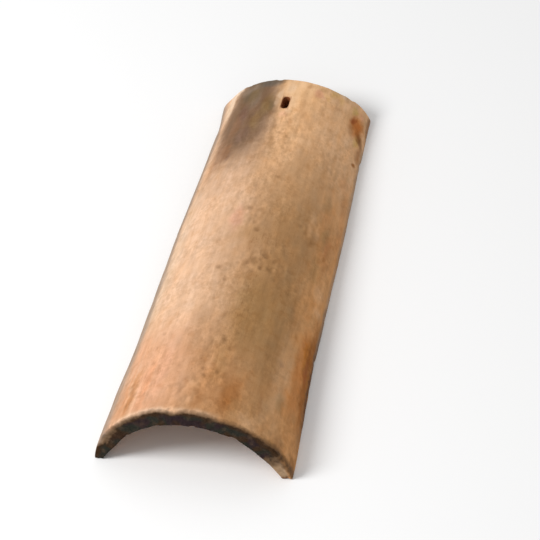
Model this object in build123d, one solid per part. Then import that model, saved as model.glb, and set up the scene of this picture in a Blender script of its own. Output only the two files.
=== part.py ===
from build123d import *

import os
from collections import namedtuple
from math import atan2, cos, degrees, radians, sin

# Clay barrel tile: one moulded piece, a half barrel that tapers from its wide tail to its narrow head.
#
# Millimetres. The tile lies on its two feet, crown up. +Y runs along the tile from the tail to the head,
# +X across it and +Z up. The origin is under the middle of the tile, on the surface that it lies on.
#
# The outside and the inside are each drawn out from a profile of round bends, like the tapered mould that
# a tile is made on: towards the head the profile shrinks all round and the whole mould sinks. The ground
# then cuts the feet flat.

# The tile from outside, to where its edges would meet if they were sharp
length = 457.0
tail_width = 178.0
tail_rise = 72.0
head_width = 142.0
head_rise = 45.0

# The crown's bend reaches this many degrees to each side of the top, where a haunch's tighter bend takes
# over, and at the tail the haunches meet the ground at this angle from the horizontal
crown_half_angle = 45.0
tail_foot_angle = 85.0

# The wall is thickest along the crown and thins down to its feet
crown_thickness = 16.5
foot_width = 10.0

# Every edge is a little rounded, as clay leaves the mould
edge_radius = 2.0

# The nail slot, on the crown's line near the head, with its long side along the tile
nail_slot_setback = 34.0
nail_slot_length = 17.0
nail_slot_width = 7.0

# A round bend of the tail's profile: its centre, across and up, and its radius
Bend = namedtuple("Bend", "x z radius")


def outer_bends():
    """The tail's outside: the crown's bend, and the right haunch's, which meets it smoothly."""
    alpha, phi = radians(crown_half_angle), radians(tail_foot_angle)
    # Half the width and the rise are each a sum of the two bends' shares, which gives both radii.
    crown_across, haunch_across = sin(alpha), sin(phi) - sin(alpha)
    crown_up, haunch_up = 1 - cos(alpha), cos(alpha) - cos(phi)
    balance = crown_across * haunch_up - haunch_across * crown_up
    crown_radius = (tail_width / 2 * haunch_up - tail_rise * haunch_across) / balance
    haunch_radius = (tail_rise * crown_across - tail_width / 2 * crown_up) / balance

    crown_z = tail_rise - crown_radius
    haunch_x = (crown_radius - haunch_radius) * sin(alpha)
    haunch_z = crown_z + (crown_radius - haunch_radius) * cos(alpha)
    return Bend(0, crown_z, crown_radius), Bend(haunch_x, haunch_z, haunch_radius)


def inner_bends():
    """The tail's inside: a single bend, which serves as the crown's and as the haunch's."""
    half_width = tail_width / 2 - foot_width
    rise = tail_rise - crown_thickness
    radius = (half_width**2 + rise**2) / (2 * rise)
    bend = Bend(0, rise - radius, radius)
    return bend, bend


def bend_arc(bend, grown, start, end):
    """A bend as an arc between two angles, counted anticlockwise from +X, with its radius grown."""
    return CenterArc((bend.x, bend.z), bend.radius + grown, start, end - start)


def mould(crown, haunch, head_half_width):
    """A tapered mould whose crown falls as the tile's does, and whose feet are this far out at the head."""
    # The crown falls partly as the profile shrinks and partly as the mould sinks. Seen from the mould, the
    # ground has risen by what it sinks, and there the shrunken haunch has to be as wide as the head.
    fall = tail_rise - head_rise
    across, up = head_half_width - haunch.x, fall - haunch.z
    shrink = (across**2 + up**2 - haunch.radius**2) / (2 * (up - haunch.radius))
    sink = fall - shrink

    # It starts ahead of the tail and ends past the head, and its haunches run on well below the ground.
    lead = crown_thickness
    before_tail = lead / length
    grown = shrink * before_tail
    haunch_end = 120
    left_haunch = Bend(-haunch.x, haunch.z, haunch.radius)
    with BuildSketch() as profile:
        with BuildLine():
            right = bend_arc(haunch, grown, 90 - haunch_end, 90 - crown_half_angle)
            bend_arc(crown, grown, 90 - crown_half_angle, 90 + crown_half_angle)
            left = bend_arc(left_haunch, grown, 90 + crown_half_angle, 90 + haunch_end)
            Line(left @ 1, right @ 0)
        make_face()
    upright = extrude(profile.sketch, length + 2 * lead, taper=degrees(atan2(shrink, length)))

    # Laid down, its z axis runs along the tile and sinks, and its y axis points up.
    tail_point = Vector(0, -length / 2 - lead, sink * before_tail)
    return Plane(tail_point, x_dir=(-1, 0, 0), z_dir=(0, length, -sink)).location * upright


def half_barrel():
    """The tapered wall, cut off at the ground and at both ends, with all its edges rounded."""
    outside = mould(*outer_bends(), head_width / 2)
    inside = mould(*inner_bends(), head_width / 2 - foot_width)
    on_the_ground = (Align.CENTER, Align.CENTER, Align.MIN)
    tile_space = Box(2 * tail_width, length, 2 * tail_rise, align=on_the_ground)
    wall = (outside & tile_space) - inside
    # The flat faces are the two ends and the two feet.
    return fillet(wall.faces().filter_by(GeomType.PLANE).edges(), edge_radius)


def nail_slot():
    """What the punch takes out, straight down through the crown."""
    along_tile = Rot(0, 0, 90) * SlotOverall(nail_slot_length, nail_slot_width)
    above_every_crown = tail_rise + head_rise
    return extrude(Pos(0, length / 2 - nail_slot_setback) * along_tile, above_every_crown)


tile = half_barrel() - nail_slot()
os.makedirs("parts", exist_ok=True)
export_step(tile, "parts/barrel_tile.step")
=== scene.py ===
from math import cos, radians, sin

import bpy
import numpy as np
from mathutils import Matrix, Vector


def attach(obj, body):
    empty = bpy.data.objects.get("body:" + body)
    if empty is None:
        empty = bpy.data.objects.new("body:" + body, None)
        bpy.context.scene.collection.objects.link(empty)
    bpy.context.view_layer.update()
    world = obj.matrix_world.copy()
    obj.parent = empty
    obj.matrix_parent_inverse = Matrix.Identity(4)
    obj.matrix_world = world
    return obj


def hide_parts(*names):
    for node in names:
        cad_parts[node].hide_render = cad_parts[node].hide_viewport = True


# Clay barrel tile: one weathered piece stands for the CAD node. Its mesh is a fine grid over the CAD's own
# surfaces, worked out in millimetres, with the warps, dents, pits and worn edges of a used tile.
#
# A place on the tile is s, from -1 at the left foot over the crown to 1 at the right foot, t, from 0 at the
# tail to 1 at the head, and d, from 0 outside to 1 inside. In millimetres the same place is arc, from the
# crown line, along, from the tail, and depth, below the outside.

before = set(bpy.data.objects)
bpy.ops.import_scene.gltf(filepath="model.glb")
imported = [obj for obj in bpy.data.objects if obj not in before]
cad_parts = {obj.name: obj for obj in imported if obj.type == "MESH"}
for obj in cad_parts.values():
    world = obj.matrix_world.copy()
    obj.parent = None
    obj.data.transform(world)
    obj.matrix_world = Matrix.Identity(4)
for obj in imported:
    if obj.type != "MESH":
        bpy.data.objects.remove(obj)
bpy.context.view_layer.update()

MM = 0.001

# The tile's size, as in the CAD
LENGTH = 457.0
TAIL_WIDTH, TAIL_RISE = 178.0, 72.0
HEAD_WIDTH, HEAD_RISE = 142.0, 45.0
CROWN_ANGLE, TAIL_FOOT_ANGLE = radians(45), radians(85)
CROWN_THICKNESS, FOOT_WIDTH = 16.5, 10.0
SLOT_SETBACK, SLOT_LENGTH, SLOT_WIDTH = 34.0, 17.0, 7.0

FALL = TAIL_RISE - HEAD_RISE
SLOT_ALONG = LENGTH - SLOT_SETBACK
SLOT_T = 1 - SLOT_SETBACK / LENGTH
SLOT_STRAIGHT, SLOT_RADIUS = (SLOT_LENGTH - SLOT_WIDTH) / 2, SLOT_WIDTH / 2

# Marks on the outside are placed by u, which is s times this, and by v, the millimetres from the head. At
# the tail it is about how far it is from the crown line to a foot, so there u is in millimetres too.
UNROLLED = 125.0


def outer_bends():
    """The tail's outside: the crown's radius, the haunch's radius, and where the haunch's centre is."""
    crown_across, haunch_across = sin(CROWN_ANGLE), sin(TAIL_FOOT_ANGLE) - sin(CROWN_ANGLE)
    crown_up, haunch_up = 1 - cos(CROWN_ANGLE), cos(CROWN_ANGLE) - cos(TAIL_FOOT_ANGLE)
    balance = crown_across * haunch_up - haunch_across * crown_up
    crown = (TAIL_WIDTH / 2 * haunch_up - TAIL_RISE * haunch_across) / balance
    haunch = (TAIL_RISE * crown_across - TAIL_WIDTH / 2 * crown_up) / balance
    haunch_x = (crown - haunch) * sin(CROWN_ANGLE)
    haunch_z = TAIL_RISE - crown + (crown - haunch) * cos(CROWN_ANGLE)
    return crown, haunch, haunch_x, haunch_z


def inner_bend():
    """The radius of the tail's inside."""
    half, rise = TAIL_WIDTH / 2 - FOOT_WIDTH, TAIL_RISE - CROWN_THICKNESS
    return (half**2 + rise**2) / (2 * rise)


def shrinkage(x, z, radius, head_half_width):
    """How much the radius of a bend round (x, z) shrinks from the tail to the head."""
    across, up = head_half_width - x, FALL - z
    return (across**2 + up**2 - radius**2) / (2 * (up - radius))


CROWN_R, HAUNCH_R, HAUNCH_X, HAUNCH_Z = outer_bends()
INNER_R = inner_bend()
INNER_Z = TAIL_RISE - CROWN_THICKNESS - INNER_R
OUTER_SHRINK = shrinkage(HAUNCH_X, HAUNCH_Z, HAUNCH_R, HEAD_WIDTH / 2)
INNER_SHRINK = shrinkage(0, INNER_Z, INNER_R, HEAD_WIDTH / 2 - FOOT_WIDTH)


def outer_half_arc(t):
    """How far it is along the outside from the crown line to a foot."""
    radius = HAUNCH_R - OUTER_SHRINK * t
    foot = np.arccos(-(HAUNCH_Z - (FALL - OUTER_SHRINK) * t) / radius)
    return (CROWN_R - OUTER_SHRINK * t) * CROWN_ANGLE + radius * (foot - CROWN_ANGLE)


def inner_foot_angle(t):
    """The angle of the inside's bend from the crown line to a foot."""
    return np.arccos(-(INNER_Z - (FALL - INNER_SHRINK) * t) / (INNER_R - INNER_SHRINK * t))


def half_arc(t, d):
    """How far it is from the crown line to a foot at some depth in the wall."""
    return (1 - d) * outer_half_arc(t) + d * (INNER_R - INNER_SHRINK * t) * inner_foot_angle(t)


def outer(s, t):
    """Places on the outside."""
    crown, haunch = CROWN_R - OUTER_SHRINK * t, HAUNCH_R - OUTER_SHRINK * t
    drop = (FALL - OUTER_SHRINK) * t
    arc = np.abs(s) * outer_half_arc(t)
    on_crown = arc < crown * CROWN_ANGLE
    angle = np.where(on_crown, arc / crown, CROWN_ANGLE + (arc - crown * CROWN_ANGLE) / haunch)
    radius = np.where(on_crown, crown, haunch)
    x = np.where(on_crown, 0, HAUNCH_X) + radius * np.sin(angle)
    z = np.where(on_crown, TAIL_RISE - CROWN_R, HAUNCH_Z) - drop + radius * np.cos(angle)
    return np.stack([np.sign(s) * x, -LENGTH / 2 + LENGTH * t, z], -1)


def inner(s, t):
    """Places on the inside."""
    radius = INNER_R - INNER_SHRINK * t
    angle = s * inner_foot_angle(t)
    z = INNER_Z - (FALL - INNER_SHRINK) * t + radius * np.cos(angle)
    return np.stack([radius * np.sin(angle), -LENGTH / 2 + LENGTH * t, z], -1)


def smooth(low, high, value):
    """0 at low, 1 at high, smooth between them and level beyond."""
    x = np.clip((value - low) / (high - low), 0, 1)
    return x * x * (3 - 2 * x)


def fading(low, high, value):
    """1 at low, 0 at high, smooth between them and level beyond."""
    return 1 - smooth(low, high, value)


def between_knots(knots, value):
    """Straight lines through (place, value) knots."""
    return np.interp(value, *zip(*knots))


# Noise is 0 at every point of whole numbers, so a pattern on a surface is read between two planes of them.
BETWEEN_PLANES = 0.37


def noise(places, seed):
    """Smooth noise from about -1 to 1 at many places, with features about 1 across."""
    size, full_range = 256, 1.6
    draw = np.random.default_rng(seed)
    order = draw.permutation(size)
    slopes = draw.normal(size=(size, 3))
    slopes /= np.linalg.norm(slopes, axis=1, keepdims=True)
    cell = np.floor(places).astype(int)
    inside = places - cell
    ease = inside**3 * (inside * (6 * inside - 15) + 10)
    total = np.zeros(len(places))
    for corner in np.ndindex(2, 2, 2):
        at = (cell + corner) % size
        pick = order[(order[(order[at[:, 0]] + at[:, 1]) % size] + at[:, 2]) % size]
        weight = np.where(corner, ease, 1 - ease).prod(axis=1)
        total += weight * ((inside - corner) * slopes[pick]).sum(axis=1)
    return full_range * total


def flat_places(across, along):
    """Places for noise on a surface."""
    return np.stack([across, along, np.full(len(across), BETWEEN_PLANES)], 1)


def layers(places, seed, count=3):
    """Noise with finer and weaker layers on it."""
    finer, weaker, full_range = 2.1, 2, 1.5
    return sum(noise(places * finer**n, seed + n) / weaker**n for n in range(count)) / full_range


# The grid's lines. They are closest at the tile's rounded edges, and close round the nail slot.
EDGE_SPACING, TAIL_SPACING = 0.55, 1.0
SLOT_SPACING_ACROSS, SLOT_SPACING_ALONG = 0.85, 0.9
SPACING_ACROSS, SPACING_ALONG = 1.46, 1.4


def line_places(length, spacing):
    """Places from 0 to length, as far apart as asked at each, in an even number of steps."""
    places = [0.0]
    while places[-1] < length or len(places) % 2 == 0:
        places.append(places[-1] + spacing(places[-1]))
    return np.array(places) * length / places[-1]


def spacing_across(from_crown):
    """Between the lines that run lengthwise."""
    if from_crown < 6.0:
        return SLOT_SPACING_ACROSS
    return EDGE_SPACING if from_crown > UNROLLED - 3.0 else SPACING_ACROSS


def spacing_along(from_tail):
    """Between the lines that run across."""
    if from_tail < 4.0 or from_tail > LENGTH - 3.0:
        return EDGE_SPACING
    if from_tail < 12.0:
        return TAIL_SPACING
    return SLOT_SPACING_ALONG if abs(from_tail - SLOT_ALONG) < 11.0 else SPACING_ALONG


right_half = line_places(UNROLLED, spacing_across) / UNROLLED
ACROSS = np.concatenate([-right_half[:0:-1], right_half])
ALONG = line_places(LENGTH, spacing_along) / LENGTH
near_outside = np.array([0, 0.04, 0.09, 0.15, 0.22, 0.31, 0.40])
THROUGH = np.concatenate([near_outside, [0.5], 1 - near_outside[::-1]])

# How many cells there are across, through the wall and along
NI, NJ, NK = len(ACROSS) - 1, len(THROUGH) - 1, len(ALONG) - 1


def slot_block():
    """The lines round the cells that the nail slot takes out: the first and last across, and along."""
    middle = NI // 2
    reach = ACROSS[middle:] * outer_half_arc(SLOT_T)
    steps = 2 * round(np.argmin(np.abs(reach - SLOT_RADIUS)) / 2)
    ends = [(SLOT_ALONG + side * SLOT_LENGTH / 2) / LENGTH for side in (-1, 1)]
    first, last = (2 * int(np.argmin(np.abs(ALONG[::2] - end))) for end in ends)
    return middle - steps, middle + steps, first, last


I0, I1, K0, K1 = slot_block()


def in_slot_block(i, k):
    return I0 <= i < I1 and K0 <= k < K1


def inside_cell(i, k):
    """A cell of the inside, two lines wide. Where it meets a finer face it keeps that face's corner."""
    level_with_slot, in_line_with_slot = K0 <= k < K1, I0 <= i < I1
    low_k = k == 0 or (in_line_with_slot and k == K1)
    high_k = k + 2 == NK or (in_line_with_slot and k + 2 == K0)
    low_i = i == 0 or (level_with_slot and i == I1)
    high_i = i + 2 == NI or (level_with_slot and i + 2 == I0)
    loop = [(i, k)]
    loop += [(i, k + 1)] * low_i + [(i, k + 2)]
    loop += [(i + 1, k + 2)] * high_k + [(i + 2, k + 2)]
    loop += [(i + 2, k + 1)] * high_i + [(i + 2, k)]
    loop += [(i + 1, k)] * low_k
    return [(a, NJ, b) for a, b in loop]


def grid_faces():
    """Every face of the wall as (i, j, k) corners, turned outwards."""
    faces = []

    def cells(count_a, count_b, corner, turned, left_out=lambda a, b: False):
        for a in range(count_a):
            for b in range(count_b):
                if left_out(a, b):
                    continue
                loop = [corner(a, b), corner(a + 1, b), corner(a + 1, b + 1), corner(a, b + 1)]
                faces.append(loop[::-1] if turned else loop)

    # The outside, the feet, the two ends and the nail slot's four walls, and then the inside
    cells(NI, NK, lambda i, k: (i, 0, k), False, in_slot_block)
    for i, turned in ((0, True), (NI, False)):
        cells(NJ, NK, lambda j, k, i=i: (i, j, k), turned)
    for k, turned in ((0, True), (NK, False)):
        cells(NI, NJ, lambda i, j, k=k: (i, j, k), turned)
    for i, turned in ((I0, False), (I1, True)):
        cells(NJ, K1 - K0, lambda j, k, i=i: (i, j, K0 + k), turned)
    for k, turned in ((K0, False), (K1, True)):
        cells(I1 - I0, NJ, lambda i, j, k=k: (I0 + i, j, k), turned)
    for i in range(0, NI, 2):
        faces += [inside_cell(i, k) for k in range(0, NK, 2) if not in_slot_block(i, k)]
    return faces


def shared_corners(faces):
    """The distinct (i, j, k) corners, and each face as numbers of them."""
    flat = np.array([corner for face in faces for corner in face])
    code = (flat[:, 0] * (NJ + 1) + flat[:, 1]) * (NK + 1) + flat[:, 2]
    _, first, number = np.unique(code, return_index=True, return_inverse=True)
    ends = np.cumsum([len(face) for face in faces])
    return flat[first], [part.tolist() for part in np.split(number, ends[:-1])]


# From the grid to the tile's shape

def slot_distance(x, y):
    """Distance outside the slot's outline, and which way is out, from places around its middle."""
    dy = y - np.clip(y, -SLOT_STRAIGHT, SLOT_STRAIGHT)
    far = np.maximum(np.hypot(x, dy), 1e-6)
    return far - SLOT_RADIUS, x / far, dy / far


def round_slot(arc, along, depth, thickness, mouth_radius):
    """Moves the grid round the slot onto its outline, and rounds its two mouths."""
    x, y = arc, along - SLOT_ALONG
    half_x = ACROSS[I1] * float(outer_half_arc(SLOT_T))
    half_y = (ALONG[K1] - ALONG[K0]) * LENGTH / 2
    y_middle = (ALONG[K0] + ALONG[K1]) / 2 * LENGTH - SLOT_ALONG

    # The ratio is 1 on the border of the cells that were taken out, and the move fades out at 3.
    ratio = np.maximum(np.abs(x) / half_x, np.abs(y - y_middle) / half_y)
    near = (ratio < 3) & (ratio > 0.5)
    border_x, border_y = x[near] / ratio[near], (y[near] - y_middle) / ratio[near]

    # A line out from the slot's middle leaves it at a straight side, or else at a round end.
    square = border_x**2 + border_y**2
    root = border_y**2 * SLOT_STRAIGHT**2 - square * (SLOT_STRAIGHT**2 - SLOT_RADIUS**2)
    at_end = (np.abs(border_y) * SLOT_STRAIGHT + np.sqrt(np.maximum(root, 0))) / square
    at_side = SLOT_RADIUS / np.maximum(np.abs(border_x), 1e-6)
    scale = np.where(at_side * np.abs(border_y) <= SLOT_STRAIGHT, at_side, at_end)
    fade = fading(1, 3, ratio[near])
    x[near] += (scale - 1) * border_x * fade
    y[near] += ((scale - 1) * border_y - y_middle) * fade

    out, dir_x, dir_y = slot_distance(x, y)
    out = np.maximum(out, 0)
    for from_face, sign in ((depth, 1), (thickness - depth, -1)):
        mouth = near & (ratio > 0.99) & (out < mouth_radius) & (from_face < mouth_radius)
        radius = mouth_radius[mouth]
        across, down = out[mouth] - radius, from_face[mouth] - radius
        pull = radius / np.maximum(np.hypot(across, down), 1e-6) - 1
        x[mouth] += across * pull * dir_x[mouth]
        y[mouth] += across * pull * dir_y[mouth]
        depth[mouth] += sign * down * pull
    return x, y + SLOT_ALONG, depth


def tile_places(corners):
    """Where each corner lies, with the wall's edges rounded: s, t and d, and the wall's thickness there."""
    s, d, t = ACROSS[corners[:, 0]], THROUGH[corners[:, 1]], ALONG[corners[:, 2]]
    thickness = np.linalg.norm(outer(s, t) - inner(s, t), axis=1)
    arc, depth, along = s * half_arc(t, d), d * thickness, t * LENGTH

    mouth_radius = 0.45 + 0.15 * noise(outer(s, t) / 4, 3)
    arc, along, depth = round_slot(arc, along, depth, thickness, mouth_radius)

    # Near an edge a point is pushed onto a round bar that lies along the edge, inside it.
    radius = 1.3 + 0.45 * noise(outer(s, t) / 18, 5) + 0.2 * noise(outer(s, t) / 6, 6)
    reach = half_arc(t, d)
    place = np.stack([arc, depth, along], 1)
    low = np.stack([radius - reach, radius, radius], 1)
    high = np.stack([reach - radius, thickness - radius, LENGTH - radius], 1)
    core = np.clip(place, low, high)
    away = np.linalg.norm(place - core, axis=1)
    i, _, k = corners.T
    by_slot = (I0 <= i) & (i <= I1) & (K0 <= k) & (k <= K1)
    moved = ~by_slot & (away > radius)
    place[moved] = core[moved] + (place - core)[moved] * (radius / np.maximum(away, 1e-6))[moved, None]
    arc, depth, along = place.T
    return arc / reach, along / LENGTH, depth / thickness, thickness


def wave(knots, t):
    """A smooth curve along the tile, led by (t, value) knots."""
    at = np.linspace(0, 1, 201)
    bell = np.exp(-np.linspace(-2, 2, 41) ** 2)
    padded = np.pad(between_knots(knots, at), len(bell) // 2, mode="edge")
    return np.interp(t, at, np.convolve(padded, bell / bell.sum(), mode="valid"))


# How far each foot is drawn in towards the other, as t and millimetres
RIGHT_FOOT_IN = [
    (0, -1.4), (0.08, -0.4), (0.2, 1.1), (0.3, 2.3), (0.45, 0.8), (0.65, -0.2), (0.85, -0.6), (1, -1.4),
]
LEFT_FOOT_IN = [(0, 0), (0.12, 1.0), (0.25, 2.3), (0.4, 1.4), (0.6, -0.4), (0.75, 0.4), (1, 1.3)]


def warp(p, s, t, d):
    """The tile's own crookedness: how it leaves the straight mould, as in the photograph."""
    from_crown = np.abs(s)
    # The feet are drawn in here and stand out there, and the head's left corner stands out most.
    p[:, 0] -= smooth(0.45, 1.0, s) * wave(RIGHT_FOOT_IN, t)
    p[:, 0] += smooth(0.45, 1.0, -s) * wave(LEFT_FOOT_IN, t)
    p[:, 0] -= 3.6 * smooth(0.92, 1.0, t) * smooth(0.78, 1.0, -s)
    p[:, 2] += 0.5 * noise(p / 85, 11) * fading(0.7, 1, from_crown)
    p[:, 0] += 0.5 * noise(p / 95, 12)
    # At the tail the wall is thicker inside, but for the left foot, which is thinner.
    lip = fading(0, 0.05, t) * d
    p[:, 0] *= 1 - 0.018 * lip * smooth(0.5, 0.75, from_crown) * fading(0.8, 1, from_crown)
    p[:, 0] -= 2.2 * lip * smooth(0.8, 1, -s)
    p[:, 2] -= 1.8 * lip * fading(0.75, 1, from_crown)
    # At the head the crown rises a little, and the right haunch more.
    p[:, 2] += 0.7 * smooth(0.9, 1, t) * fading(0.75, 1, from_crown)
    p[:, 2] += 1.5 * smooth(0.86, 1, t) * smooth(0.5, 0.72, s) * fading(0.85, 1, s)
    # The tail's end isn't quite square: its feet reach a little further than its crown.
    further = 2.0 * smooth(0.8, 0.95, -s) + 1.3 * smooth(0.45, 0.7, s) + 0.7 * smooth(0.8, 0.95, s)
    p[:, 1] -= fading(0, 0.08, t) * further
    # The nail slot was punched a little to the left.
    from_slot = ((1 - t) * LENGTH - SLOT_SETBACK) / 45
    p[:, 0] -= 1.5 * np.exp(-((s / 0.3) ** 2) - from_slot**2)
    return p


# Dents, pits and worn edges

def from_middle(u, v, oval):
    """How far out places lie in an oval (u, v, half size across, half size along): 1 at its edge."""
    middle_u, middle_v, half_u, half_v = oval
    return np.hypot((u - middle_u) / half_u, (v - middle_v) / half_v)


def pit_depth(arc, along, pits):
    """How deep (arc, along, radius, depth) pits go at each point. A negative depth stands proud."""
    deep = np.zeros(len(arc))
    for x, y, radius, depth in pits:
        square = (arc - x) ** 2 + (along - y) ** 2
        near = square < (1.5 * radius) ** 2
        ratio = square[near] / radius**2
        bowl = np.clip(1 - ratio, 0, 1) ** 1.5
        lip = 0.16 * np.exp(-((np.sqrt(ratio) - 1.1) / 0.18) ** 2) * (bowl == 0)
        deep[near] += depth * (bowl - lip)
    return deep


def by_arc(pits):
    """Pits that are placed by u and v, placed by arc and along instead."""
    u, v, radius, depth = np.array(pits).T
    return np.stack([u / UNROLLED * outer_half_arc(1 - v / LENGTH), LENGTH - v, radius, depth], 1)


def scattered_pits(count, seed, small, large):
    """Pits in chance places, most of them small, placed by arc and along."""
    draw = np.random.default_rng(seed)
    radius = small + (large - small) * draw.random(count) ** 3
    arc = draw.uniform(-118, 118, count)
    along = draw.uniform(4, LENGTH - 4, count)
    return np.stack([arc, along, radius, radius * draw.uniform(0.16, 0.34, count)], 1)


# Pits that the photograph shows, as u, v, radius and depth
SEEN_PITS = [
    (3.4, 78, 3.0, 0.4), (18.5, 140, 3.2, 0.45), (-2, 187, 4.0, 0.6), (-3, 156, 3.0, 0.35),
    (13, 215, 4.2, 0.7), (30, 247, 4.6, 0.9), (26, 252, 3.2, 0.5), (40, 250, 3.2, 0.5),
    (27, 264, 3.6, 0.7), (13.5, 260, 3.8, 0.6), (-14, 269, 4.4, 0.65), (-30, 277, 3.0, 0.3),
    (-3, 285, 3.4, 0.45), (25, 349, 3.6, 0.3), (46, 226, 3.2, 0.4), (58, 193, 3.6, 0.45),
    (8, 206, 3.4, 0.4), (4, 262, 3.0, 0.35), (-2.5, 436, 3.8, 0.3), (6, 409, 3.4, 0.25),
    (19, 385, 3.2, 0.25), (29, 379, 3.4, 0.25), (16, 361, 3.2, 0.2), (-49, 353, 3.0, 0.35),
    (108, 75.4, 2.8, 0.35), (-52, 170, 2.8, 0.3), (-38, 338, 2.8, 0.3), (24, 327, 3.6, 0.35),
    (45, 272, 3.4, 0.3), (-24, 232, 2.8, 0.25), (19, 245, 3.0, 0.35), (36, 262, 2.8, 0.3),
    (20, 270, 2.6, 0.3), (-2, 414, 3.0, 0.2), (58, 254, 3.0, 0.3), (6, 197, 2.8, 0.3),
    (10, 186, 2.6, 0.25), (-20, 398, 2.6, 0.25), (64, 170, 2.8, 0.3), (-66, 438, 3.4, 0.4),
]

# Low blisters, in the same form
SEEN_BLISTERS = [
    (33, 241, 3.0, -0.5), (41, 246, 2.6, -0.45), (27, 251, 2.4, -0.4), (14, 254, 2.4, -0.35),
    (-1, 392, 3.2, -0.45), (9, 398, 2.8, -0.4), (4, 410, 3.4, -0.4), (14, 376, 2.6, -0.35),
    (7, 365, 2.4, -0.35), (16, 405, 2.6, -0.3), (14, 53, 2.6, -0.3), (21, 66, 2.4, -0.3),
    (-8, 62, 2.2, -0.25), (9, 73, 2.4, -0.25),
]

# Where the surface is rougher than elsewhere, as u, v, half size across and along, and by how much
ROUGH_SPOTS = [
    (14, 385, 17, 42, 1.0), (31, 256, 30, 17, 1.0), (2, 184, 30, 34, 0.6), (-4, 432, 22, 20, 0.8),
    (-54, 424, 30, 30, 0.25), (72, 190, 14, 28, 0.6), (-10, 300, 40, 40, 0.3), (14, 78, 30, 44, 0.55),
]

# Where the surface has flaked off, as u, v, half size across and along, and depth
SPALLS = [(101, 27, 12, 14, 0.7), (107, 36, 6, 9, 0.4)]


def relief(p, s, t, depth, thickness):
    """How far each point stands proud of the smooth tile, and the seen pits and the ruts that are in it."""
    arc, along = s * outer_half_arc(t), t * LENGTH
    u, v = s * UNROLLED, LENGTH - along
    outside, inside = fading(0.3, 2.5, depth), fading(0.3, 2.5, thickness - depth)
    edge = np.clip(1 - outside - inside, 0, 1)

    def pattern(across, lengthwise):
        return flat_places(arc / across, along / lengthwise)

    # Waves and lumps, which are stronger in the rough places, with the mould's lengthwise traces over them
    rough = smooth(-0.5, 0.6, noise(p / 30, 29)) * smooth(-0.75, -0.2, s)
    stretched = pattern(5.5, 70)
    height = 0.35 * noise(pattern(19, 34), 20) + (0.12 + 0.16 * rough) * noise(pattern(8, 12), 21)
    height += 0.09 * rough * noise(pattern(3.8, 5.5), 28)
    height += 0.08 * layers(stretched, 24) + 0.03 * noise(pattern(3.2, 14), 27)
    height *= outside

    # Furrows and crumbs in the roughest spots
    roughest, wander = np.zeros(len(p)), 0.3 * noise(p / 14, 46)
    for *oval, strength in ROUGH_SPOTS:
        roughest = np.maximum(roughest, strength * fading(0.4, 1.3, from_middle(u, v, oval) + wander))
    ruts = roughest * (noise(pattern(4.2, 9), 44) + 0.6 * noise(pattern(3.2, 4), 45)) * outside
    height += 0.36 * ruts

    # The flaked places, which are ragged, and uneven within
    u_ragged, v_ragged = u + 2.5 * noise(p / 5, 37), v + 3.0 * noise(p / 6, 38)
    uneven = 0.35 * noise(p / 3.2, 39) + 0.2 * noise(p / 1.7, 40)
    for *oval, deep in SPALLS:
        height -= fading(0.78, 1.0, from_middle(u_ragged, v_ragged, oval)) * (deep + uneven) * outside

    height += (0.35 * layers(p / 11, 31) + 0.12 * noise(stretched * (1, 1.5, 1), 34)) * inside

    seen = pit_depth(arc, along, by_arc(SEEN_PITS)) * outside * (1 + 0.5 * noise(p / 2.4, 36))
    height -= seen + pit_depth(arc, along, by_arc(SEEN_BLISTERS)) * outside
    height -= pit_depth(arc, along, scattered_pits(90, 41, 1.8, 3.4)) * 0.5 * outside
    height -= pit_depth(arc, along, scattered_pits(60, 42, 2.4, 5.0)) * inside

    # The broken look of the tail's end, and the plainer one of the head's
    at_tail, at_head = fading(0.2, 1.6, along) * edge, fading(0.2, 1.6, v) * edge
    height -= at_tail * (0.2 + 0.75 * layers(p / 5.5, 51) + 0.25 * noise(p / 2.2, 54))
    height -= at_head * 0.35 * layers(p / 7, 56)
    return height, seen, ruts


# Chips at the edges, as s, t, d of the middle, radius, and how deep
CHIPS = [
    # The tail, outside and inside
    (-0.11, 0.0, 0.0, 5.0, 2.6), (-0.66, 0.0, 0.0, 4.0, 0.9), (0.22, 0.0, 0.0, 6.0, 0.8),
    (0.47, 0.0, 0.0, 4.0, 0.9), (0.80, 0.0, 0.0, 5.0, 1.0), (-0.38, 0.0, 0.0, 3.5, 0.9),
    (0.98, 0.0, 0.2, 4.0, 1.2), (0.05, 0.0, 1.0, 4.0, 1.0), (-0.30, 0.0, 1.0, 5.0, 0.6),
    (0.42, 0.0, 1.0, 6.0, 1.0), (-0.62, 0.0, 1.0, 3.5, 0.9),
    # The head, outside and inside
    (-0.52, 1.0, 0.0, 4.0, 0.4), (0.66, 1.0, 0.0, 5.0, 0.7), (-0.15, 1.0, 0.0, 4.0, 0.6),
    (0.10, 1.0, 1.0, 8.0, 1.6), (-0.60, 1.0, 1.0, 7.0, 1.4),
    # The feet
    (1.0, 0.62, 1.0, 7.0, 1.3), (-1.0, 0.17, 1.0, 8.0, 1.5), (1.0, 0.30, 1.0, 9.0, 1.4),
    (1.0, 0.86, 0.0, 3.5, 0.6), (-1.0, 0.45, 0.6, 7.0, 1.0), (-1.0, 0.74, 0.0, 5.0, 0.7),
]


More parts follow.
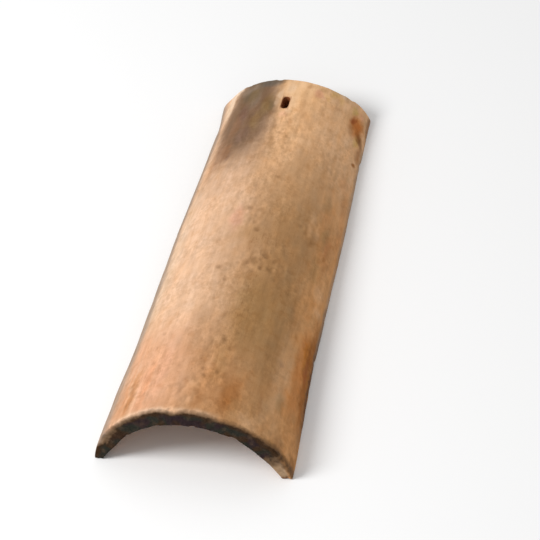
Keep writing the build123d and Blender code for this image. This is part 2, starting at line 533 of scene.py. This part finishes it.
def chip(p):
    """Takes the chips off the edges, each towards the middle of the wall."""
    for chip_s, chip_t, chip_d, radius, depth in CHIPS:
        outside, inside = outer(chip_s, chip_t), inner(chip_s, chip_t)
        middle = (1 - chip_d) * outside + chip_d * inside
        inward = (outside + inside) / 2 - middle
        # At an end it also goes along the tile, and at a foot across and up.
        inward[1] = 8 * (1 - 2 * chip_t) if chip_t in (0.0, 1.0) else 0
        if abs(chip_s) > 0.95:
            inward += (-6 * chip_s, 0, 2)
        inward /= np.linalg.norm(inward)
        away = np.linalg.norm(p - middle, axis=1) * (1 + 0.3 * noise(p / 4, 61))
        p += inward * (depth * smooth(radius, 0.45 * radius, away))[:, None]
    return p


def build_tile():
    """The tile's mesh, shaped and painted."""
    corners, faces = shared_corners(grid_faces())
    s, t, d, thickness = tile_places(corners)
    p = (1 - d)[:, None] * outer(s, t) + d[:, None] * inner(s, t)
    p = warp(p, s, t, d)

    mesh = bpy.data.meshes.new("weathered_tile")
    mesh.from_pydata(p, [], faces)
    normals = np.empty(len(p) * 3)
    mesh.vertex_normals.foreach_get("vector", normals)
    height, pits, ruts = relief(p, s, t, d * thickness, thickness)
    p = chip(p + normals.reshape(-1, 3) * height[:, None])
    p[:, 2] = np.maximum(p[:, 2], 0)
    mesh.vertices.foreach_set("co", (p * MM).ravel())
    mesh.update()
    mesh.validate()
    mesh.shade_smooth()
    paint(mesh, p, s, t, d, thickness, pits, ruts)
    return mesh


# Colours, as they are written for a screen: clays, warm tones, browns, greys, the crust's, and the painted
# shade inside the nail slot

PALETTE = {
    "pale clay": (226, 186, 154), "tail clay": (216, 166, 132), "worn clay": (179, 136, 92),
    "warm clay": (212, 157, 104), "fresh clay": (229, 182, 138), "head clay": (243, 198, 152),
    "inner clay": (190, 144, 106), "end clay": (176, 146, 116), "cream": (246, 222, 196),
    "peach": (224, 160, 120), "pink": (230, 172, 146), "orange": (203, 132, 70), "sienna": (196, 140, 92),
    "amber": (184, 112, 32), "copper": (190, 112, 50), "rust": (166, 92, 44), "ochre": (157, 98, 43),
    "lichen": (216, 178, 100), "olive": (166, 126, 80), "moss": (146, 118, 76), "brown": (142, 103, 74),
    "bark": (112, 72, 30), "umber": (96, 62, 38), "pit": (122, 84, 48), "slot shade": (140, 84, 48),
    "mist": (200, 190, 172), "taupe": (158, 138, 122), "smoke": (128, 100, 77), "mauve": (124, 96, 84),
    "slate": (96, 92, 88), "soot": (108, 92, 72), "char": (45, 45, 38), "plum": (48, 35, 37),
    "singed": (62, 42, 25), "ash": (98, 78, 62), "scorched": (84, 60, 38),
}


def linear(name):
    """A colour of the palette, as light adds up."""
    value = np.array(PALETTE[name]) / 255
    return np.where(value < 0.04045, value / 12.92, ((value + 0.055) / 1.055) ** 2.4)


# Soft marks on the outside: u and v of the middle, half size across and along, colour, strength, softness.
# Each later one lies over those before it.
MARKS = [
    # Broad fields
    (16, 12, 34, 32, "head clay", 0.9, 1.0), (26, 60, 20, 30, "head clay", 0.35, 1.0),
    (55, 118, 28, 34, "worn clay", 0.3, 1.0), (0, 98, 20, 24, "worn clay", 0.22, 1.0),
    (-56, 112, 18, 22, "worn clay", 0.15, 1.0), (-86, 270, 14, 150, "mist", 0.25, 1.0),
    (-82, 425, 13, 40, "taupe", 0.2, 1.0), (62, 425, 34, 36, "warm clay", 0.25, 1.0),
    (58, 212, 26, 34, "worn clay", 0.6, 1.0), (33, 318, 22, 44, "olive", 0.8, 1.0),
    (58, 318, 16, 60, "olive", 0.4, 1.0), (24, 424, 26, 50, "sienna", 0.55, 1.0),
    (-14, 350, 12, 26, "worn clay", 0.25, 1.0),
    # The smoke stain left of the nail slot, and the pale border to its left
    (-56, 138, 34, 32, "smoke", 0.2, 1.0), (-51, 45, 41, 73, "smoke", 1.0, 0.55),
    (-22, 100, 24, 34, "smoke", 0.2, 1.0), (-55, 12, 18, 16, "soot", 0.75, 1.0),
    (-34, 0, 28, 10, "soot", 0.7, 0.9), (-62, 8, 16, 9, "taupe", 0.45, 1.0),
    (-34, 44, 12, 22, "umber", 0.16, 1.0), (-41, 66, 10, 16, "umber", 0.2, 1.0),
    (-24, 36, 9, 13, "moss", 0.8, 1.0), (-19, 37, 5, 8, "soot", 0.45, 0.9),
    (-33, 60, 8, 14, "moss", 0.45, 1.0), (-57, 47, 8, 15, "mauve", 0.7, 1.0),
    (-64, 62, 9, 16, "brown", 0.5, 1.0), (-48, 82, 10, 12, "mauve", 0.4, 1.0),
    (-45, 30, 8, 9, "taupe", 0.3, 1.0), (-28, 5, 16, 7, "slate", 0.6, 0.9),
    (-52, 22, 7, 8, "moss", 0.45, 0.9), (-64, 98, 6, 14, "brown", 0.75, 0.9),
    (-76, 102, 10, 30, "brown", 0.55, 1.0), (-57, 108, 5, 9, "mauve", 0.4, 1.0),
    (-84, 124, 8, 22, "sienna", 0.35, 1.0), (-97, 18, 9, 22, "cream", 0.6, 0.8),
    (-86, 3, 10, 5, "cream", 0.7, 0.9),
    # The chip at the right of the head, and what lies round it
    (101, 28, 13, 16, "orange", 0.9, 0.7), (94.5, 24, 5, 5, "rust", 0.95, 0.8),
    (103, 30, 7, 8, "copper", 0.85, 1.0), (91, 36, 5, 7, "ochre", 0.3, 1.0),
    (108, 41, 7, 8, "ochre", 0.7, 0.9), (108, 41, 6, 6, "bark", 0.55, 1.0),
    (113, 44, 5, 6, "bark", 0.45, 0.9), (103, 48, 5, 6, "lichen", 0.55, 0.9),
    (101, 32, 6, 5, "copper", 0.6, 1.0), (100, 14.5, 5, 4, "fresh clay", 0.6, 1.0),
    (115, 54, 7, 9, "umber", 0.4, 1.0), (105, 11, 6, 4, "pink", 0.45, 0.9),
    (91, 12, 5, 5, "lichen", 0.7, 0.9), (123, 15, 7, 20, "brown", 0.8, 0.8),
    (112, 60, 5, 9, "ochre", 0.35, 0.9), (84, 22, 6, 9, "olive", 0.3, 0.9),
    # Round the nail slot
    (-12, 34, 3, 4, "cream", 0.15, 1.0), (6, 45, 4, 5, "cream", 0.2, 1.0),
    (-9, 24, 3, 5, "cream", 0.25, 0.8), (1, 52, 5, 5, "pink", 0.3, 0.9),
    (13, 62, 3, 6, "sienna", 0.35, 0.8), (22, 40, 5, 12, "sienna", 0.15, 0.9),
    (33, 36, 15, 26, "warm clay", 0.3, 1.0),
    # The brown dot below the chip, and the right haunch down to the middle
    (108, 75.4, 3.2, 3.2, "ochre", 0.9, 0.8), (117, 60, 4, 9, "sienna", 0.4, 0.9),
    (101, 108, 9, 10, "orange", 0.25, 0.9), (109, 134, 7, 18, "sienna", 0.5, 0.9),
    (86, 164, 8, 16, "sienna", 0.4, 0.9), (100, 205, 12, 26, "sienna", 0.5, 1.0),
    (112, 172, 6, 22, "sienna", 0.5, 0.9), (-13, 203, 8, 15, "pink", 0.55, 1.0),
    (8, 222, 14, 12, "olive", 0.3, 1.0), (69, 184, 3.5, 16, "fresh clay", 0.5, 1.0),
    (78, 192, 3.5, 14, "fresh clay", 0.45, 1.0), (90, 186, 6, 12, "moss", 0.4, 0.9),
    (97, 196, 5, 12, "rust", 0.25, 0.9), (88, 236, 7, 16, "moss", 0.35, 0.9),
    (84, 150, 6, 12, "moss", 0.3, 0.9), (101, 256, 8, 12, "fresh clay", 0.45, 0.9),
    (105, 277, 6, 7, "fresh clay", 0.5, 0.9),
    # The brown strip along the right foot, with painted shade along its outer edge
    (98, 356, 8, 56, "orange", 0.7, 0.8), (90, 372, 6, 40, "orange", 0.4, 0.9),
    (105, 330, 6, 22, "amber", 0.8, 0.9), (112, 350, 8, 66, "ochre", 0.9, 0.7),
    (109, 346, 4, 12, "rust", 0.5, 0.9), (106, 390, 6, 24, "ochre", 0.4, 0.9),
    # The umber along the foot's outer edge, from u 118 to 122, is painted shade where the edge turns under
    (122, 340, 4, 80, "umber", 0.9, 0.8), (118, 300, 4, 26, "umber", 0.3, 0.9),
    (119, 400, 4, 30, "umber", 0.4, 0.9),
    # The tail, with its reddish left and the ochre patches right of its middle
    (78, 386, 10, 54, "fresh clay", 0.45, 0.9), (76, 362, 3, 5, "mauve", 0.25, 0.9),
    (82, 408, 5, 10, "moss", 0.35, 0.9), (95, 440, 14, 16, "warm clay", 0.4, 0.9),
    (33, 424, 9, 20, "ochre", 0.6, 0.8), (28, 440, 7, 12, "ochre", 0.4, 0.9),
    (61, 422, 3, 14, "ochre", 0.25, 0.9), (16, 392, 6, 24, "moss", 0.25, 1.0),
    (8, 438, 5, 10, "ochre", 0.3, 0.9), (-62, 424, 6, 34, "sienna", 0.6, 0.9),
    (-74, 440, 12, 22, "sienna", 0.2, 1.0), (-50, 418, 8, 30, "peach", 0.5, 0.9),
    (-80, 360, 8, 34, "peach", 0.3, 0.9), (-68, 380, 5, 30, "peach", 0.35, 0.9),
    # Along the head's rim
    (41, 15, 9, 6, "pink", 0.5, 0.9), (60, 8, 10, 5, "moss", 0.2, 1.0), (72, 3, 14, 4, "mist", 0.4, 1.0),
    (66, 17, 6, 5, "mauve", 0.15, 1.0), (84, 12, 6, 9, "fresh clay", 0.6, 0.9),
    (0, 12, 7, 12, "cream", 0.25, 0.9), (8, 36, 6, 10, "cream", 0.15, 0.9),
    (30, 60, 9, 20, "sienna", 0.15, 0.9),
    # Fine streaks at the tail's left
    (-63, 432, 3.5, 24, "ochre", 0.35, 1.0), (-55, 436, 4, 26, "cream", 0.15, 1.0),
    (-67, 396, 3, 36, "cream", 0.2, 1.0), (-71, 420, 3.5, 26, "orange", 0.3, 1.0),
    (-45, 424, 3, 30, "peach", 0.4, 0.9), (-35, 405, 6, 40, "pink", 0.2, 1.0),
    # The darkest places of the stain
    (-58, 21, 10, 9, "soot", 0.5, 1.0), (-47, 29, 8, 8, "soot", 0.4, 1.0),
    (-26, 32, 7, 9, "umber", 0.35, 1.0), (-58, 47, 10, 10, "umber", 0.2, 1.0),
    # Specks along the head's rim
    (26, 6, 4, 4, "sienna", 0.5, 1.0), (41, 16, 6, 5, "rust", 0.2, 1.0),
    (45, 8, 5, 4, "olive", 0.45, 1.0), (61, 7, 6, 5, "lichen", 0.4, 1.0),
    (60, 14, 6, 5, "head clay", 0.4, 1.0), (71, 13, 4, 5, "lichen", 0.3, 1.0),
    (78, 5, 4, 4, "olive", 0.4, 1.0), (51, 15, 4, 4, "lichen", 0.3, 1.0),
    # Along the tail's rim
    (57, 449, 12, 9, "fresh clay", 0.5, 1.0), (90, 449, 8, 8, "umber", 0.35, 1.0),
    (116, 450, 7, 9, "bark", 0.55, 0.9), (110, 432, 8, 14, "ochre", 0.22, 1.0),
    (40, 440, 5, 16, "olive", 0.3, 0.9), (50, 446, 10, 10, "fresh clay", 0.3, 0.9),
    (66, 436, 7, 20, "fresh clay", 0.3, 0.9), (1, 423, 6, 6, "fresh clay", 0.2, 1.0),
]

# How deep below the tail's rim the crust begins, as s and millimetres
CRUST_BORDER = [
    (-1, -2), (-0.89, -1.5), (-0.87, 0.5), (-0.83, 3.6), (-0.7, 3.6), (-0.6, 2.8), (-0.46, 1.5),
    (-0.34, 0.6), (-0.22, -1.5), (-0.16, -0.6), (-0.1, 3), (0, -0.8), (0.13, -0.5), (0.24, 2),
    (0.36, -0.8), (0.48, -0.8), (0.57, -1.5), (0.65, -3.5), (0.74, -5.5), (0.85, -3.6), (0.93, -5.0),
]

# How thick the crust may get near its rim, as s and share
CRUST_LIMIT = [(-0.86, 1), (-0.79, 0.66), (-0.64, 0.62), (-0.54, 1), (0.64, 1), (0.76, 0.66), (1, 0.54)]

# How strong the painted highlight along the tail's rim is, as s and share
RIM_HIGHLIGHT = [(-0.7, 0), (-0.5, 0.38), (-0.2, 0.45), (0, 0.2), (0.15, 0.3), (0.26, 0)]

# Where the grey band along the left foot ends, as v and u
GREY_BAND_EDGE = [(0, -114), (40, -106), (60, -97), (130, -97), (190, -98), (255, -90), (345, -84), (457, -86)]

# Where scratches show, as u, v and half size across and along
SCRATCHED = [(14, 380, 16, 34), (22, 300, 12, 70), (22, 235, 30, 34), (-60, 400, 40, 60)]


def blend(first, second, amount):
    """The first colour where the amount is 0, the second where it is 1, and between them."""
    return first + (second - first) * amount[:, None]


def vary(colour, amount, tint=(1, 1.1, 1.25)):
    """Makes colours lighter or darker by an amount, which each channel follows as the tint says."""
    return colour * (1 + amount[:, None] * tint)


def outside_colour(p, s, along, ruts):
    """The clay's colour outside."""
    u, v = s * UNROLLED, LENGTH - along
    # The fields run into each other along bent borders.
    u_bent = u + 5 * layers(p / 16, 71) + 1.5 * noise(p / 4, 74)
    v_bent = v + 8 * layers(p / 20, 75) + 2.0 * noise(p / 5, 78)
    colour = np.tile(linear("pale clay"), (len(p), 1))
    colour = blend(colour, linear("tail clay"), smooth(310, 385, v_bent))
    colour = blend(colour, linear("worn clay"), smooth(-48, 40, u_bent + 8 * noise(p / 60, 81)))
    colour = blend(colour, linear("warm clay"), smooth(62, 92, u_bent))
    colour = blend(colour, linear("fresh clay"), fading(70, 205, v_bent) * smooth(-24, 6, u_bent))
    for *oval, name, strength, softness in MARKS:
        ratio = from_middle(u_bent, v_bent, oval)
        mask = strength * fading(1 - softness * 0.7, 1 + softness * 0.5, ratio)
        colour = blend(colour, linear(name), mask)

    # A grey band along the feet, and a painted highlight along the tail's rim
    # Greyer along the left foot below a bent border, and along the right foot's edge
    from_grey_band = u + 2 * noise(p / 9, 88) - between_knots(GREY_BAND_EDGE, v)
    colour = blend(colour, linear("taupe"), 0.95 * fading(-8, 8, from_grey_band))
    on_right_foot = smooth(115, 122, u + 1.5 * noise(p / 9, 87)) * fading(300, 340, v) * smooth(30, 60, v)
    colour = blend(colour, linear("taupe"), 0.6 * on_right_foot)
    # The cream line along the tail's outer rim is a painted highlight, where the rounded edge catches light
    highlit_rim = fading(2.5, 8.0, along + 1.5 * noise(p / 6, 89))
    colour = blend(colour, linear("cream"), between_knots(RIM_HIGHLIGHT, s) * highlit_rim)

    # Streaks and mottling, redder and greener tints, and darker in the ruts' hollows and lighter on their
    # crests
    streaks, mottle = layers(flat_places(u / 7, v / 75), 82), layers(flat_places(u / 8, v / 12), 85, 2)
    colour = vary(colour, 0.09 * streaks + 0.09 * mottle)
    tints = layers(flat_places(u / 10, v / 18), 65, 2)
    colour = vary(colour, (0.045 + 0.03 * smooth(20, 80, u)) * tints, (1, 0, -1.5))
    return vary(colour, 0.31 * np.clip(ruts, -0.8, 0.55), (1, 1.1, 1.3))


def inside_colour(p, s, along, depth):
    """The clay's colour inside the arch and in the wall's end faces."""
    streaks = flat_places(s * UNROLLED / 7, (LENGTH - along) / 75)
    shade = 1 + 0.10 * layers(p / 22, 91) + 0.08 * layers(streaks, 94)
    colour = linear("inner clay") * shade[:, None]
    at_tail = fading(2.0, 5.0, along) * smooth(1.0, 3.0, depth)
    colour = blend(colour, linear("end clay"), at_tail)
    return blend(colour, linear("brown"), at_tail * fading(1.0, 5.0, p[:, 2] + noise(p / 3, 97)))


def crust_thickness(p, s, along, depth, thickness):
    """How thick the burnt crust on the tail's end is, from 0 to 1. Where it is thin it is burnt brown."""
    border = between_knots(CRUST_BORDER, s) + 0.8 * noise(p / 7, 95) + 0.35 * noise(p / 2.6, 96)
    on_inside = thickness - depth < 0.5
    reach = np.where(on_inside, thickness + 4 - along, depth - along) - border
    spread = 2.6 + 2.0 * smooth(-0.8, -0.66, s) + 0.8 * smooth(0.6, 0.75, s)
    limit = np.maximum(between_knots(CRUST_LIMIT, s), (s < 0) * smooth(4.0, 9.0, depth))
    crust = np.minimum(0.5 + reach / (2 * spread), limit).clip(0, 1) * fading(5, 11, along)
    # The right foot is bare but for its rim.
    below_rim = smooth(2.0, 5.5, depth + 2 * smooth(0.86, 0.93, s))
    return crust * (1 - smooth(0.785, 0.89, s + 0.02 * noise(p / 4, 97)) * below_rim)


def soot_colour(p, s, depth):
    """The crust's colour: black, plum at the crown, brown at the rim and the left, with ashen specks."""
    soot = np.tile(linear("char"), (len(p), 1))
    soot = blend(soot, linear("plum"), smooth(-0.15, 0.35, noise(p / 12, 66) + 0.5 * (np.abs(s) < 0.16)))
    by_left_foot = np.abs(s + 0.72) < 0.13
    soot = blend(soot, linear("singed"), 0.8 * smooth(0.1, 0.6, noise(p / 10, 67) + 0.6 * by_left_foot))
    soot = blend(soot, linear("singed"), fading(2.0, 6.5, depth + 2 * noise(p / 6, 98)))
    ashen = 0.45 * smooth(0.2, 0.8, noise(p / 5.5, 69)) + 0.15 * smooth(0, 0.8, noise(p / 2.2, 70))
    return blend(soot, linear("ash"), ashen)


def paint(mesh, p, s, t, d, thickness, pits, ruts):
    """Stores each point's colours, its place unrolled, and how crusted, how dark in its pits and how
    scratched it is.
    """
    depth, along = d * thickness, t * LENGTH
    u, v = s * UNROLLED, LENGTH - along
    arc = s * outer_half_arc(t)

    within, outside = inside_colour(p, s, along, depth), outside_colour(p, s, along, ruts)
    colour = blend(within, outside, fading(1.0, 4.0, depth))
    margin = 0.7
    in_slot = (np.abs(arc) < SLOT_RADIUS + margin) & (np.abs(v - SLOT_SETBACK) < SLOT_LENGTH / 2 + margin)
    # Inside the nail slot and round its mouth the clay is painted darker: painted shade in the recess
    colour = blend(colour, linear("slot shade"), np.where(in_slot, 0.5 + 0.5 * smooth(0.1, 0.7, depth), 0))
    opaque = np.ones((len(p), 1))

    crust = crust_thickness(p, s, along, depth, thickness)
    # Darker in the pits, the more the deeper they go
    pit_darkening = np.clip(pits * 1.5, 0, 1)
    scratched = np.full(len(p), 0.25)
    for oval in SCRATCHED:
        scratched = np.maximum(scratched, fading(0.3, 1.2, from_middle(u, v, oval)))

    def store(name, kind, field, values):
        mesh.attributes.new(name, kind, "POINT").data.foreach_set(field, values.ravel())

    store("painted", "FLOAT_COLOR", "color", np.concatenate([np.clip(colour, 0, 1), opaque], 1))
    store("soot", "FLOAT_VECTOR", "vector", soot_colour(p, s, depth))
    store("unrolled", "FLOAT_VECTOR", "vector", np.stack([arc, along, depth], 1) * MM)
    store("wear", "FLOAT_VECTOR", "vector", np.stack([crust, pit_darkening, scratched], 1))


class Nodes:
    """Short calls for making a node tree."""

    def __init__(self, tree):
        self.tree = tree
        tree.nodes.clear()

    def add(self, kind, inputs=None, **settings):
        node = self.tree.nodes.new(kind)
        for name, value in settings.items():
            setattr(node, name, value)
        for name, value in (inputs or {}).items():
            if isinstance(value, bpy.types.NodeSocket):
                self.tree.links.new(value, node.inputs[name])
            else:
                node.inputs[name].default_value = value
        return node

    def noise(self, vector, scale, detail=3.0, roughness=0.55, stretch=None):
        if stretch:
            inputs = {"Vector": vector, "Location": (0, 0, BETWEEN_PLANES), "Scale": stretch}
            vector = self.add("ShaderNodeMapping", inputs).outputs[0]
        inputs = {"Vector": vector, "Scale": scale, "Detail": detail, "Roughness": roughness}
        return self.add("ShaderNodeTexNoise", inputs).outputs[0]

    def remap(self, value, low, high, to_low=0.0, to_high=1.0, interpolation="SMOOTHSTEP"):
        inputs = {"Value": value, "From Min": low, "From Max": high, "To Min": to_low, "To Max": to_high}
        return self.add("ShaderNodeMapRange", inputs, interpolation_type=interpolation).outputs[0]

    def maths(self, operation, a, b):
        return self.add("ShaderNodeMath", {0: a, 1: b}, operation=operation).outputs[0]

    def mix(self, amount, a, b, blend="MIX"):
        inputs = {0: amount, 6: a, 7: b}
        return self.add("ShaderNodeMix", inputs, data_type="RGBA", blend_type=blend).outputs[2]

    def shade(self, colour, value, light, dark):
        """Multiplies a colour by light where the value is 0, by dark where it is 1, and between them."""
        factor = self.mix(value, (*light, 1), (*dark, 1))
        return self.mix(1.0, colour, factor, "MULTIPLY")


def colour4(name):
    return (*linear(name), 1)


def new_material(name):
    """A material with an empty node tree."""
    material = bpy.data.materials.new(name)
    material.use_nodes = True
    return material, Nodes(material.node_tree)


def clay_material():
    material, n = new_material("fired_clay")
    painted = n.add("ShaderNodeAttribute", attribute_name="painted").outputs["Color"]
    soot = n.add("ShaderNodeAttribute", attribute_name="soot").outputs["Color"]
    unrolled = n.add("ShaderNodeAttribute", attribute_name="unrolled").outputs["Vector"]
    wear = n.add("ShaderNodeAttribute", attribute_name="wear").outputs["Vector"]
    crust_field, pit_darkening, scratched = n.add("ShaderNodeSeparateXYZ", {0: wear}).outputs
    place = n.add("ShaderNodeTexCoord").outputs["Object"]

    # Mottling of several sizes, lengthwise streaks and scratches, and dark grains
    mottle = n.noise(unrolled, 1, 2, 0.5, (210, 150, 210))
    speckle = n.noise(unrolled, 1, 2, 0.5, (430, 300, 430))
    streak = n.noise(unrolled, 1, 3, 0.6, (190, 18, 190))
    scratch = n.noise(unrolled, 1, 2, 0.5, (800, 95, 800))
    grain = n.noise(place, 800, 2, 0.6)
    blotch = n.noise(place, 95, 4, 0.6)
    patchy = n.remap(n.noise(place, 26, 2, 0.5), 0.38, 0.62, 0.25, 1.0)

    def patched(value, low, high):
        """The value, over 0 to 1 where the clay is rough, and nearer to a half where it is smooth."""
        return n.maths("ADD", n.maths("MULTIPLY", n.remap(value, low, high, -0.5, 0.5), patchy), 0.5)

    colour = n.shade(painted, patched(mottle, 0.30, 0.70), (1.09, 1.08, 1.07), (0.91, 0.89, 0.85))
    colour = n.shade(colour, patched(speckle, 0.30, 0.70), (1.03, 1.03, 1.03), (0.96, 0.95, 0.93))
    colour = n.shade(colour, n.remap(streak, 0.32, 0.68), (1.04, 1.04, 1.04), (0.95, 0.93, 0.90))
    colour = n.shade(colour, n.remap(blotch, 0.52, 0.72), (1, 1, 1), (0.92, 0.88, 0.83))
    colour = n.shade(colour, n.remap(grain, 0.60, 0.74), (1, 1, 1), (0.84, 0.80, 0.76))
    deep_scratch = n.maths("MULTIPLY", n.remap(scratch, 0.56, 0.72), scratched)
    colour = n.shade(colour, deep_scratch, (1, 1, 1), (0.82, 0.78, 0.74))
    # Darker in the pits
    colour = n.mix(n.maths("MULTIPLY", pit_darkening, 0.45), colour, colour4("pit"))

    # The crust on the tail's end: the clay is scorched brown towards it, and it is sooty within
    ragged = n.maths("ADD", crust_field, n.remap(n.noise(place, 220, 3), 0.3, 0.7, -0.09, 0.09))
    scorched = n.maths("POWER", n.remap(ragged, 0.10, 0.78, 0.0, 0.98, "LINEAR"), 0.75)
    colour = n.mix(scorched, colour, colour4("scorched"))
    crust = n.remap(ragged, 0.62, 0.90)
    soot = n.shade(soot, n.remap(grain, 0.3, 0.7), (0.75, 0.75, 0.75), (1.25, 1.25, 1.25))
    colour = n.mix(crust, colour, soot)

    # The finest relief, which the mesh is too coarse for
    rise = n.maths("MULTIPLY", patched(mottle, 0.25, 0.75), 1.1)
    for height, strength in ((patched(speckle, 0.25, 0.75), 0.35), (grain, 0.3), (scratch, 0.15)):
        rise = n.maths("ADD", rise, n.maths("MULTIPLY", height, strength))
    bump = n.add("ShaderNodeBump", {"Height": rise, "Strength": 0.5, "Distance": 0.0004}).outputs[0]
    rough = n.remap(blotch, 0.3, 0.7, 0.75, 0.92)
    gloss = n.remap(crust, 0.0, 1.0, 0.2, 0.08)
    inputs = {"Base Color": colour, "Roughness": rough, "Specular IOR Level": gloss, "Normal": bump}
    shader = n.add("ShaderNodeBsdfPrincipled", inputs)
    n.add("ShaderNodeOutputMaterial", {"Surface": shader.outputs[0]})
    return material


def place_in_scene(name, data):
    """A new object in the scene."""
    item = bpy.data.objects.new(name, data)
    bpy.context.scene.collection.objects.link(item)
    return item


tile = place_in_scene("weathered_tile", build_tile())
tile.data.materials.append(clay_material())
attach(tile, "root")
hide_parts("barrel_tile")


def make_camera():
    """The camera, where the photograph's was. The tile isn't in the middle of its picture."""
    azimuth, elevation, roll = radians(16.93), radians(45.22), radians(-6.55)
    centre, distance, focal_pixels = Vector((0, 0, 0.024)), 2.9963, 3263.0
    middle_pixel, object_pixel = 270.0, (245.75, 263.67)
    back = Vector((sin(azimuth) * cos(elevation), -cos(azimuth) * cos(elevation), sin(elevation)))
    level = (-back).cross(Vector((0, 0, 1))).normalized()
    upright = level.cross(-back)
    right = cos(roll) * level + sin(roll) * upright
    up = -sin(roll) * level + cos(roll) * upright
    ahead = -back + right * ((middle_pixel - object_pixel[0]) / focal_pixels)
    ahead -= up * ((middle_pixel - object_pixel[1]) / focal_pixels)
    axis_z = -ahead.normalized()
    axis_x = up.cross(axis_z).normalized()
    axis_y = axis_z.cross(axis_x)
    turned = Matrix((axis_x, axis_y, axis_z)).transposed().to_4x4()

    data = bpy.data.cameras.new("camera")
    data.sensor_width = 36
    data.lens = focal_pixels * data.sensor_width / (2 * middle_pixel)
    data.clip_end = 50
    camera = place_in_scene("camera", data)
    camera.matrix_world = Matrix.Translation(centre + back * distance) @ turned
    bpy.context.scene.camera = camera


def seen_directly(n):
    """1 for what the camera sees, straight or in a reflection, and 0 for what lights the tile."""
    path = n.add("ShaderNodeLightPath").outputs
    either = n.maths("MAXIMUM", path["Is Camera Ray"], path["Is Glossy Ray"])
    return n.maths("MAXIMUM", either, path["Is Transmission Ray"])


def make_floor():
    """A white floor, which is greyer in the light that it throws back at the tile."""
    half, white, thrown_back = 6.0, (1, 1, 1, 1), (0.7, 0.7, 0.7, 1)
    mesh = bpy.data.meshes.new("floor")
    corners = [(-half, -half, 0), (half, -half, 0), (half, half, 0), (-half, half, 0)]
    mesh.from_pydata(corners, [], [(0, 1, 2, 3)])
    floor = place_in_scene("floor", mesh)
    material, n = new_material("floor")
    seen = seen_directly(n)
    near = n.add("ShaderNodeBsdfDiffuse", {"Color": n.mix(seen, thrown_back, white)}).outputs[0]
    # Far from the tile, where the lamp doesn't reach, the floor that is seen is as white as the world
    far = n.add("ShaderNodeEmission", {"Color": white, "Strength": 1.0}).outputs[0]
    place = n.add("ShaderNodeTexCoord").outputs["Object"]
    distance = n.add("ShaderNodeVectorMath", {0: place}, operation="LENGTH").outputs["Value"]
    beyond = n.maths("MULTIPLY", n.remap(distance, 0.45, 1.6), seen)
    both = n.add("ShaderNodeMixShader", {0: beyond, 1: near, 2: far}).outputs[0]
    n.add("ShaderNodeOutputMaterial", {"Surface": both})
    mesh.materials.append(material)


def make_light():
    """A white world, which is seen brighter than it shines, and a large soft lamp at the left."""
    world = bpy.data.worlds.new("studio")
    bpy.context.scene.world = world
    world.use_nodes = True
    n = Nodes(world.node_tree)
    ambient = n.add("ShaderNodeBackground", {"Color": (1, 1, 1, 1), "Strength": 0.55}).outputs[0]
    white = n.add("ShaderNodeBackground", {"Color": (1, 1, 1, 1), "Strength": 1.0}).outputs[0]
    both = n.add("ShaderNodeMixShader", {0: seen_directly(n), 1: ambient, 2: white}).outputs[0]
    n.add("ShaderNodeOutputWorld", {"Surface": both})

    key = bpy.data.lights.new("key", "AREA")
    key.shape, key.size, key.energy = "DISK", 1.1, 42
    lamp = place_in_scene("key", key)
    towards, distance = Vector((-0.66, -0.36, 0.72)).normalized(), 2.5
    lamp.location = towards * distance
    lamp.rotation_euler = towards.to_track_quat("Z", "Y").to_euler()


make_camera()
make_floor()
make_light()
bpy.context.scene.view_settings.view_transform = "Standard"
